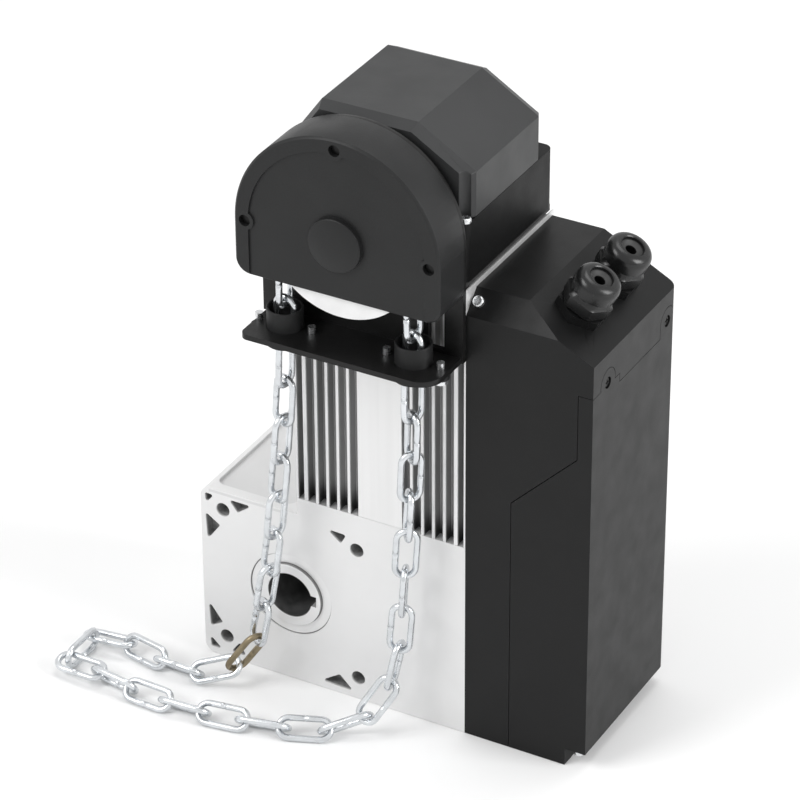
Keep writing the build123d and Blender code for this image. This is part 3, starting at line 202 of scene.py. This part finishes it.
class Surface:
    """A material whose colour, roughness and bump come from procedural textures in object space."""

    def __init__(self, name, roughness, metallic=0.0):
        self.material = bpy.data.materials.new(name)
        self.material.use_nodes = True
        self.tree = self.material.node_tree
        self.shader = self.tree.nodes["Principled BSDF"]
        self.shader.inputs["Roughness"].default_value = roughness
        self.shader.inputs["Metallic"].default_value = metallic
        self.coordinates = self.tree.nodes.new("ShaderNodeTexCoord").outputs["Object"]
        self.height = None

    def noise(self, scale, detail=4.0, stretch=(1.0, 1.0, 1.0)):
        """Noise with the given number of cells in a metre, drawn out along the axes that stretch divides."""
        mapping = self.tree.nodes.new("ShaderNodeMapping")
        mapping.inputs["Scale"].default_value = stretch
        self.tree.links.new(self.coordinates, mapping.inputs["Vector"])
        texture = self.tree.nodes.new("ShaderNodeTexNoise")
        texture.inputs["Scale"].default_value = scale
        texture.inputs["Detail"].default_value = detail
        self.tree.links.new(mapping.outputs[0], texture.inputs["Vector"])
        return texture.outputs["Fac"]

    def cells(self, scale):
        """Distance to the nearest point of a random grid, for moulded grain."""
        texture = self.tree.nodes.new("ShaderNodeTexVoronoi")
        texture.inputs["Scale"].default_value = scale
        self.tree.links.new(self.coordinates, texture.inputs["Vector"])
        return texture.outputs["Distance"]

    def ramp(self, factor, stops):
        """Colour ramp over factor. stops is a list of (position, colour)."""
        node = self.tree.nodes.new("ShaderNodeValToRGB")
        elements = node.color_ramp.elements
        while len(elements) < len(stops):
            elements.new(0.5)
        for element, (position, colour) in zip(elements, stops):
            element.position = position
            element.color = (*colour, 1.0)
        self.tree.links.new(factor, node.inputs["Fac"])
        return node.outputs["Color"]

    def axis(self, letter):
        """One of the three object coordinates, in metres."""
        node = self.tree.nodes.new("ShaderNodeSeparateXYZ")
        self.tree.links.new(self.coordinates, node.inputs[0])
        return node.outputs[letter]

    def smooth_step(self, value, start, end):
        """0 before start and 1 beyond end, with a soft change between them."""
        node = self.tree.nodes.new("ShaderNodeMapRange")
        node.interpolation_type = "SMOOTHSTEP"
        node.inputs["From Min"].default_value = start
        node.inputs["From Max"].default_value = end
        self.tree.links.new(value, node.inputs["Value"])
        return node.outputs[0]

    def product(self, first, second):
        node = self.tree.nodes.new("ShaderNodeMath")
        node.operation = "MULTIPLY"
        self.tree.links.new(first, node.inputs[0])
        self.tree.links.new(second, node.inputs[1])
        return node.outputs[0]

    def window(self, letter, low, high, soft=0.0004):
        """1 where this coordinate lies between low and high, with soft edges inside them."""
        value = self.axis(letter)
        return self.product(
            self.smooth_step(value, low, low + soft), self.smooth_step(value, high, high - soft)
        )

    def radius(self, centre_x, centre_z):
        """Distance from a line along Y."""
        shift = self.tree.nodes.new("ShaderNodeVectorMath")
        shift.operation = "SUBTRACT"
        shift.inputs[1].default_value = (centre_x, 0.0, centre_z)
        self.tree.links.new(self.coordinates, shift.inputs[0])
        flat = self.tree.nodes.new("ShaderNodeVectorMath")
        flat.operation = "MULTIPLY"
        flat.inputs[1].default_value = (1.0, 0.0, 1.0)
        self.tree.links.new(shift.outputs[0], flat.inputs[0])
        length = self.tree.nodes.new("ShaderNodeVectorMath")
        length.operation = "LENGTH"
        self.tree.links.new(flat.outputs[0], length.inputs[0])
        return length.outputs["Value"]

    def mixed(self, factor, low, high):
        """Colour that runs from low to high with factor."""
        node = self.tree.nodes.new("ShaderNodeMix")
        node.data_type = "RGBA"
        self.tree.links.new(factor, node.inputs["Factor"])
        self.tree.links.new(low, node.inputs[6])
        self.tree.links.new(high, node.inputs[7])
        return node.outputs[2]

    def colour_mix(self, factor, low, high):
        """Base colour that runs from low to high with factor."""
        self.tree.links.new(self.mixed(factor, low, high), self.shader.inputs["Base Color"])
        return self

    def colour(self, factor, stops):
        self.tree.links.new(self.ramp(factor, stops), self.shader.inputs["Base Color"])
        return self

    def gloss(self, factor, low, high):
        """Roughness that runs from low to high with factor."""
        node = self.tree.nodes.new("ShaderNodeMapRange")
        node.inputs["From Min"].default_value = 0.3
        node.inputs["From Max"].default_value = 0.7
        node.inputs["To Min"].default_value = low
        node.inputs["To Max"].default_value = high
        self.tree.links.new(factor, node.inputs["Value"])
        self.tree.links.new(node.outputs[0], self.shader.inputs["Roughness"])
        return self

    def bump(self, factor, distance, strength=1.0):
        """Adds a bump of this depth in metres to those that the surface has."""
        node = self.tree.nodes.new("ShaderNodeBump")
        node.inputs["Distance"].default_value = distance
        node.inputs["Strength"].default_value = strength
        self.tree.links.new(factor, node.inputs["Height"])
        if self.height is not None:
            self.tree.links.new(self.height, node.inputs["Normal"])
        self.height = node.outputs[0]
        self.tree.links.new(self.height, self.shader.inputs["Normal"])
        return self


def grey(value, tint=0.0):
    """A grey with a little blue where tint is above nought, and a little yellow below it."""
    return (value * (1 - tint), value, value * (1 + tint))


def cast_aluminium():
    """Smooth painted casting, with painted shade in the pockets and holes of its front; darker in the sunk
    top panel.
    """
    surface = Surface("cast_aluminium", 0.55, 0.25)
    face = surface.ramp(surface.noise(25, 5), [(0.3, grey(0.76)), (0.7, grey(0.79))])
    panel = surface.ramp(surface.noise(60, 4), [(0.3, grey(0.66)), (0.7, grey(0.69))])
    # painted shade: dark grey in the pockets and bolt holes of the front, where shade falls
    painted_pocket_shade = surface.ramp(surface.noise(500, 4), [(0.3, grey(0.22)), (0.7, grey(0.34))])
    low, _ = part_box("gearbox_housing")
    inside = surface.product(
        surface.window("X", low[0] + pocket_margin, pocket_right),
        surface.window("Z", low[2] + pocket_margin, pocket_top),
    )
    in_front = surface.window("Y", front_skin, pocket_reach, pocket_blend)
    sunk = surface.product(
        surface.window("Z", panel_low, panel_high), surface.window("X", low[0] + panel_inset, panel_right)
    )
    surface.colour_mix(surface.product(inside, in_front), surface.mixed(sunk, face, panel), painted_pocket_shade)
    surface.gloss(surface.noise(160, 3), 0.50, 0.60)
    return surface.bump(surface.noise(1500, 2), 0.00005).bump(surface.noise(260, 3), 0.00004).material


def finned_aluminium():
    """Bright extrusion, with painted shade in the grooves of its front and back, near black at their foot."""
    surface = Surface("finned_aluminium", 0.38, 0.55)
    bright = surface.ramp(surface.noise(90, 4, (1, 1, 0.03)), [(0.35, grey(0.74)), (0.65, grey(0.80))])
    # painted shade: mid grey in the grooves, and near black where they meet the gearbox
    painted_groove_shade = surface.ramp(surface.noise(60, 4, (1, 1, 0.1)), [(0.3, grey(0.30)), (0.7, grey(0.42))])
    painted_foot_shadow = surface.ramp(surface.noise(400, 4), [(0.3, grey(0.03)), (0.7, grey(0.08))])
    low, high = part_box("motor_body")
    groove = surface.product(
        surface.window("Y", fin_skin, high[1] - fin_skin, fin_blend),
        surface.window("X", low[0] + fin_side_skin, high[0] - fin_side_skin),
    )
    near_foot = surface.smooth_step(surface.axis("Z"), low[2] + foot_fade_top, low[2] + foot_fade_bottom)
    surface.colour_mix(groove, bright, surface.mixed(near_foot, painted_groove_shade, painted_foot_shadow))
    surface.gloss(surface.noise(700, 3, (1, 1, 0.02)), 0.30, 0.46)
    return surface.bump(surface.noise(1600, 2, (1, 1, 0.015)), 0.00004).material


def moulded_plastic(name, value, roughness, grain, specular=0.24):
    """Black moulding with a fine spark-eroded grain of the given depth in metres."""
    surface = Surface(name, roughness)
    surface.shader.inputs["Specular IOR Level"].default_value = specular
    surface.colour(surface.noise(30, 5), [(0.3, grey(value * 0.9, 0.02)), (0.7, grey(value * 1.1, 0.02))])
    surface.gloss(surface.noise(70, 4), roughness - 0.04, roughness + 0.05)
    return surface.bump(surface.cells(1400), grain).bump(surface.noise(14, 1), 0.00004, 0.5).material


def powder_coat(name, value):
    surface = Surface(name, 0.35)
    surface.shader.inputs["Specular IOR Level"].default_value = 0.25
    surface.colour(surface.noise(60, 4), [(0.3, grey(value * 0.85)), (0.7, grey(value * 1.2))])
    surface.gloss(surface.noise(240, 4), 0.28, 0.42)
    return surface.bump(surface.noise(900, 3), 0.00005).material


def plated_wire(name, low, high, roughness):
    """Zinc plate on wire: bright and smooth, with faint clouds in the plate."""
    surface = Surface(name, roughness, 0.95)
    surface.colour(surface.noise(110, 5), [(0.3, low), (0.7, high)])
    surface.gloss(surface.noise(300, 4), roughness - 0.06, roughness + 0.08)
    return surface.bump(surface.noise(900, 3), 0.00002).material


def ground_steel(name, low, high, roughness):
    surface = Surface(name, roughness, 0.95)
    surface.colour(surface.noise(150, 4), [(0.3, low), (0.7, high)])
    surface.gloss(surface.noise(500, 3, (1, 0.05, 1)), roughness - 0.06, roughness + 0.08)
    return surface.bump(surface.noise(2200, 2, (1, 0.03, 1)), 0.00003).material


def turned_ring(name, inner, outer, value, bored=False):
    """Smooth light metal round the output bore, with painted shade as a thin dark circle at its inner and
    outer edge, in the gaps between the rings.

    A bored ring also has painted shade on the wall of its hole.
    """
    surface = Surface(name, 0.45, 0.4)
    light = surface.ramp(surface.noise(90, 3), [(0.3, grey(value)), (0.7, grey(value + 0.02))])
    # painted shade: near black in the gaps at the ring's edges and down the bore
    painted_gap_shade = surface.ramp(surface.noise(200, 3), [(0.3, grey(0.07)), (0.7, grey(0.12))])
    across = surface.radius(0.0, 0.0)
    plain = surface.product(
        surface.smooth_step(across, inner, inner + 0.0004), surface.smooth_step(across, outer, outer - 0.0004)
    )
    if bored:
        plain = surface.product(plain, surface.smooth_step(across, inner - 0.0001, inner))
    surface.colour_mix(plain, painted_gap_shade, light)
    surface.gloss(surface.noise(400, 3), 0.38, 0.5)
    return surface.bump(surface.noise(1400, 2), 0.00002).material


def smooth_rubber():
    surface = Surface("black_rubber", 0.6)
    surface.colour(surface.noise(120, 4), [(0.3, grey(0.018)), (0.7, grey(0.030))])
    return surface.bump(surface.noise(1200, 3), 0.00005).material


def white_plastic():
    surface = Surface("wheel_plastic", 0.45)
    surface.colour(surface.noise(80, 4), [(0.3, grey(0.80)), (0.7, grey(0.88))])
    return surface.bump(surface.noise(600, 3), 0.00005).material


def wound_copper():
    surface = Surface("winding_copper", 0.35, 0.8)
    surface.colour(surface.noise(900, 3, (1, 1, 0.1)), [(0.3, (0.42, 0.16, 0.07)), (0.7, (0.62, 0.28, 0.13))])
    return surface.bump(surface.noise(1500, 2, (1, 1, 0.08)), 0.0002).material


def solder_mask():
    surface = Surface("circuit_board", 0.4)
    surface.colour(surface.cells(260), [(0.2, (0.02, 0.14, 0.06)), (0.8, (0.03, 0.20, 0.09))])
    return surface.bump(surface.cells(260), 0.00005).material


def make_materials():
    """One finished material for each material slot of the record."""
    return {
        "cast_aluminium": cast_aluminium(),
        "finned_aluminium": finned_aluminium(),
        "black_plastic": moulded_plastic("black_plastic", 0.015, 0.42, 0.00003),
        # The next three are lit and shaded copies of black_plastic: the hood's with painted light, the
        # control box's with painted shade, and the drive base's with the painted shadow of the hoist cover
        "hood_plastic_painted_light": moulded_plastic("hood_plastic_painted_light", 0.032, 0.42, 0.00003, 0.28),
        "box_plastic_painted_shade": moulded_plastic("box_plastic_painted_shade", 0.005, 0.40, 0.00002, 0.22),
        "base_plastic_painted_shadow": moulded_plastic("base_plastic_painted_shadow", 0.004, 0.45, 0.00003, 0.14),
        "black_screws": powder_coat("black_screws", 0.004),
        "seal_metal": turned_ring("seal_metal", 0.0186, 0.0241, 0.80),
        "shaft_metal": turned_ring("shaft_metal", 0.0129, 0.0186, 0.78, True),
        "guide_plastic": moulded_plastic("guide_plastic", 0.012, 0.45, 0.00002),
        "gland_plastic": moulded_plastic("gland_plastic", 0.008, 0.26, 0.00001, 0.4),
        "grey_plastic": moulded_plastic("grey_plastic", 0.18, 0.50, 0.00003),
        "wheel_plastic": white_plastic(),
        "black_steel": powder_coat("black_steel", 0.008),
        "ground_steel": ground_steel("ground_steel", grey(0.50), grey(0.62), 0.28),
        "electrical_steel": powder_coat("electrical_steel", 0.12),
        "zinc_steel": plated_wire("zinc_steel", grey(0.62, 0.01), grey(0.80, 0.02), 0.26),
        "zinc_chain": plated_wire("zinc_chain", grey(0.60, 0.03), grey(0.74, 0.03), 0.20),
        "repair_steel": plated_wire("repair_steel", (0.20, 0.16, 0.10), (0.33, 0.28, 0.19), 0.42),
        "bronze": ground_steel("bronze", (0.42, 0.26, 0.10), (0.56, 0.36, 0.15), 0.34),
        "winding_copper": wound_copper(),
        "black_rubber": smooth_rubber(),
        "circuit_board": solder_mask(),
    }


own_materials = {
    # The hood, control box and drive base take the copies of black plastic with painted light and shade
    "drive_hood": "hood_plastic_painted_light", "control_housing": "box_plastic_painted_shade", "control_cover": "box_plastic_painted_shade",
    "drive_base": "base_plastic_painted_shadow", "cover_screws": "black_screws", "front_oil_seal": "seal_metal",
    "rear_oil_seal": "seal_metal", "output_shaft": "shaft_metal",
}
soft_edges = {
    "drive_hood": 0.0009, "hoist_cover": 0.0006, "control_housing": 0.0007, "control_cover": 0.0005,
    "drive_base": 0.0007, "gearbox_housing": 0.0005, "hoist_bracket": 0.0004, "left_chain_guide": 0.0004,
    "right_chain_guide": 0.0004, "motor_body": 0.0003, "output_shaft": 0.0003, "front_oil_seal": 0.0002,
}


def dress_nodes(materials):
    """Gives each CAD node its finish, and rounds the edges of those that show."""
    for part in frame["record"]["subparts"]:
        node = part["node"]
        data = nodes[node].data
        data.materials.clear()
        data.materials.append(materials[own_materials.get(node, part["material_slot"])])
    for node, radius in soft_edges.items():
        joined = nodes[node].modifiers.new("joined", "WELD")
        joined.merge_threshold = 0.000002
        rounded = nodes[node].modifiers.new("rounded", "BEVEL")
        rounded.width = radius
        rounded.segments = 3
        rounded.limit_method = "ANGLE"
        rounded.angle_limit = radians(32)
        rounded.harden_normals = True


def link_frames(node):
    """Centre and turn of every link of a chain node, found from its separate closed shells.

    A shell much longer than a link is the joined row on the wheel, whose places are worked out.
    """
    shell = bmesh.new()
    shell.from_mesh(node.data)
    bmesh.ops.remove_doubles(shell, verts=shell.verts, dist=1e-6)
    shell.verts.ensure_lookup_table()
    unseen = set(range(len(shell.verts)))
    frames = []
    while unseen:
        group = [min(unseen)]
        unseen.discard(group[0])
        for index in group:
            for edge in shell.verts[index].link_edges:
                other = edge.other_vert(shell.verts[index]).index
                if other in unseen:
                    unseen.discard(other)
                    group.append(other)
        points = np.array([shell.verts[index].co[:] for index in group])
        if np.ptp(points, axis=0).max() > 1.5 * link_outer_length:
            frames += wheel_links()
            continue
        centre = points.mean(axis=0)
        _, axes = np.linalg.eigh(np.cov((points - centre).T))
        along = Vector(axes[:, 2])
        across = Vector(axes[:, 1])
        turn = Matrix((along, across, along.cross(across))).transposed()
        frames.append(Matrix.Translation(Vector(centre)) @ turn.to_4x4())
    shell.free()
    return frames


def wheel_links():
    """Places of the links on the chain wheel, lying flat on it and standing upright in turn."""
    turn = pi / wheel_pockets
    centre_radius = wheel_pitch / 2 / sin(turn / 2) * cos(turn / 2)
    links = []
    for step in range(wheel_pockets):
        angle = turn * (step + 0.5)
        outward = Vector((cos(angle), 0, sin(angle)))
        along = Vector((-sin(angle), 0, cos(angle)))
        across = Vector((0, 1, 0)) if step % 2 == 0 else outward
        place = Matrix((along, across, along.cross(across))).transposed().to_4x4()
        links.append(Matrix.Translation(wheel_centre + outward * centre_radius) @ place)
    return links


def link_line(steps):
    """Centre line of one link in its own plane: each point, its outward way and the wire's size factor."""
    bend = link_outer_width / 2 - wire_radius
    straight = link_outer_length / 2 - wire_radius - bend
    line = []
    for end in (1, -1):
        for step in range(steps + 1):
            angle = pi / 2 - pi * step / steps + (0 if end == 1 else pi)
            outward = Vector((cos(angle), sin(angle), 0))
            line.append((Vector((end * straight, 0, 0)) + outward * bend, outward, 1.0))
        if end == 1:
            for place, size in weld_shape:
                line.append((Vector((place * straight, -bend, 0)), Vector((0, -1, 0)), size))
    return line


def chain_piece(name, node, material):
    """Round-wire links in the places of the CAD links."""
    line = link_line(10)
    sides = 14
    vertices = []
    faces = []
    for place in link_frames(nodes[node]):
        first = len(vertices)
        for centre, outward, size in line:
            for side in range(sides):
                angle = 2 * pi * side / sides
                offset = outward * cos(angle) + Vector((0, 0, sin(angle)))
                vertices.append(place @ (centre + offset * wire_radius * size))
        count = len(line)
        for ring in range(count):
            for side in range(sides):
                here = first + ring * sides
                there = first + (ring + 1) % count * sides
                following = (side + 1) % sides
                faces.append((here + side, there + side, there + following, here + following))
    mesh = bpy.data.meshes.new(name)
    mesh.from_pydata(vertices, [], faces)
    mesh.materials.append(material)
    mesh.shade_smooth()
    piece = bpy.data.objects.new(name, mesh)
    bpy.context.scene.collection.objects.link(piece)
    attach(piece, "housing")
    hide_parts(node)


def ringed_piece(name, rings, place, material, sides=96, replaced=()):
    """A closed surface through rings round the Z axis of place, the last joined to the first.

    Each ring is (height, radius), where radius is a number or a function of the angle.
    """
    vertices = []
    faces = []
    for height, radius in rings:
        for side in range(sides):
            angle = 2 * pi * side / sides
            reach = radius(angle) if callable(radius) else radius
            vertices.append(place @ Vector((reach * cos(angle), reach * sin(angle), height)))
    for ring in range(len(rings)):
        here = ring * sides
        there = (ring + 1) % len(rings) * sides
        for side in range(sides):
            following = (side + 1) % sides
            faces.append((here + side, here + following, there + following, there + side))
    finish_piece(name, vertices, faces, material, replaced)


def finish_piece(name, vertices, faces, material, replaced):
    """Makes the mesh of a piece that is fixed to the housing."""
    mesh = bpy.data.meshes.new(name)
    mesh.from_pydata(vertices, [], faces)
    mesh.materials.append(material)
    mesh.shade_smooth()
    mesh.set_sharp_from_angle(angle=radians(38))
    piece = bpy.data.objects.new(name, mesh)
    bpy.context.scene.collection.objects.link(piece)
    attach(piece, "housing")
    for node in replaced:
        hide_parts(node)


def upright_at(point, out):
    """A place at point whose Z axis is out."""
    return Matrix.Translation(point) @ Vector(out).to_track_quat("Z", "Y").to_matrix().to_4x4()


def ribbed_hexagon(flat_radius, corner_radius, rib):
    """Radius of a hexagon with rounded corners and fine upright ribs on every other flat."""
    ribbed_half_angle = 0.42
    ribs_per_turn = 96

    def radius(angle):
        turned = (angle + gland_turn) % (2 * pi)
        flat = int(turned // (pi / 3))
        local = turned % (pi / 3) - pi / 6
        reach = min(flat_radius / cos(local), corner_radius)
        if flat % 2 == 0 and abs(local) < ribbed_half_angle:
            reach += rib * (0.5 + 0.5 * cos(local * ribs_per_turn))
        return reach
    return radius


def gland_nut(name, place, replaced):
    """Cap nut of a cable gland: a ribbed hexagon, a short neck and a round dome with an open top."""
    flat = 0.0116
    hexagon = ribbed_hexagon(flat, 0.0130, 0.00022)
    inner = ribbed_hexagon(flat - 0.0007, 0.0119, 0.0)
    rings = [
        (0.0054, 0.0099), (0.0054, inner), (0.0060, hexagon), (0.0120, hexagon), (0.0128, inner),
        (0.0142, ribbed_hexagon(0.0107, 0.0112, 0.0)), (0.0148, 0.0109), (0.0152, 0.0117),
    ]
    dome_radius = 0.0118
    rim = 0.0050
    for step in range(9):
        angle = pi / 2 * step / 8
        rings.append((0.0200 + rim * sin(angle), dome_radius - rim + rim * cos(angle)))
    rings += [(0.0246, 0.0063), (0.0236, 0.0061), (0.0140, 0.0061), (0.0134, 0.0099)]
    ringed_piece(name, rings, place, materials["gland_plastic"], 288, replaced)


def gland_seal(name, place, replaced):
    """Rubber seal whose soft lips close towards the cable's hole."""
    rings = [
        (0.0140, 0.0060), (0.0232, 0.0060), (0.0233, 0.0052), (0.0224, 0.0042), (0.0220, 0.0030),
        (0.0214, 0.0030), (0.0212, 0.0044), (0.0200, 0.0050), (0.0140, 0.0050),
    ]
    ringed_piece(name, rings, place, materials["black_rubber"], 64, replaced)


def cross_slot(arm, width):
    """Radius of a cross recess with arms of this length and half width."""
    def radius(angle):
        local = (angle + pi / 4) % (pi / 2) - pi / 4
        return min(arm, width / max(abs(sin(local)), 0.001))
    return radius


def pan_head(name, point, out, radius, height, material, replaced):
    """Round-topped screw head with a cross recess, seated at point."""
    centre = 0.0001
    recess_floor = height * 0.35
    slot_shape = cross_slot(radius * 0.62, radius * 0.14)
    rings = [(0.0, centre), (0.0, radius)]
    for step in range(7):
        angle = pi / 2 * step / 6
        rings.append((height * (0.35 + 0.65 * sin(angle)), radius * (0.70 + 0.30 * cos(angle))))
    rings += [(height, slot_shape), (recess_floor, slot_shape), (recess_floor, centre)]
    ringed_piece(name, rings, upright_at(point, out), material, 96, replaced)


make_camera()
make_world()
make_floor()
area_light("key_light", (-1.3, -1.7, 2.0), (0.05, 0.04, 0.12), 1.4, 38.0)
area_light("side_light", (2.3, 0.2, 1.1), (0.10, 0.04, 0.12), 1.2, 40.0)
area_light("top_light", (0.2, 0.6, 2.4), (0.05, 0.04, 0.20), 1.2, 14.0)

materials = make_materials()
dress_nodes(materials)
chain_piece("round_chain_links", "hand_chain", materials["zinc_chain"])
chain_piece("round_repair_link", "repair_link", materials["repair_steel"])

for name, place_y in (("front", 0.0289), ("rear", 0.0629)):
    gland_place = upright_at((gland_x, place_y, gland_z), gland_out)
    gland_nut(f"{name}_gland_cap", gland_place, (f"{name}_gland_nut",))
    gland_seal(f"{name}_gland_lips", gland_place, (f"{name}_gland_seal",))

# Screw heads: name, seat, way out, radius, height, material, slot and the node that they stand for
screw_heads = (
    (
        "roof_edge_screw", (0.1070, 0.0058, 0.2028), (0, -1, 1), 0.0030, 0.0022,
        "zinc_steel", "zinc_steel", "box_screws",
    ),
    (
        "foot_screw", (0.1665, 0.0055, -0.0433), (0, 0, -1), 0.0028, 0.0050,
        "zinc_steel", "zinc_steel", "box_screws",
    ),
    (
        "front_side_screw", (0.1710, 0.0160, 0.1705), (1, 0, 0), 0.0027, 0.0010,
        "black_screws", "black_steel", "box_screws",
    ),
    (
        "rear_side_screw", (0.1710, 0.0820, 0.1710), (1, 0, 0), 0.0027, 0.0010,
        "black_screws", "black_steel", "box_screws",
    ),
    (
        "hood_corner_screw", (0.1010, 0.0032, 0.2470), (0, 0, 1), 0.0028, 0.0024,
        "zinc_steel", "zinc_steel", "hood_screw",
    ),
)
for name, seat, out, radius, height, finish, slot, node in screw_heads:
    pan_head(name, seat, out, radius, height, materials[finish], (node,))
ringed_piece(
    "hoist_cover_boss",
    [(0.0, 0.0001), (0.0, 0.0145), (0.0014, 0.0145), (0.0018, 0.0143), (0.0020, 0.0139), (0.0020, 0.0001)],
    upright_at((0.0465, -0.0279, 0.2350), (0, -1, 0)), materials["black_plastic"],
)

bpy.context.scene.view_settings.view_transform = "Standard"
bpy.context.view_layer.update()
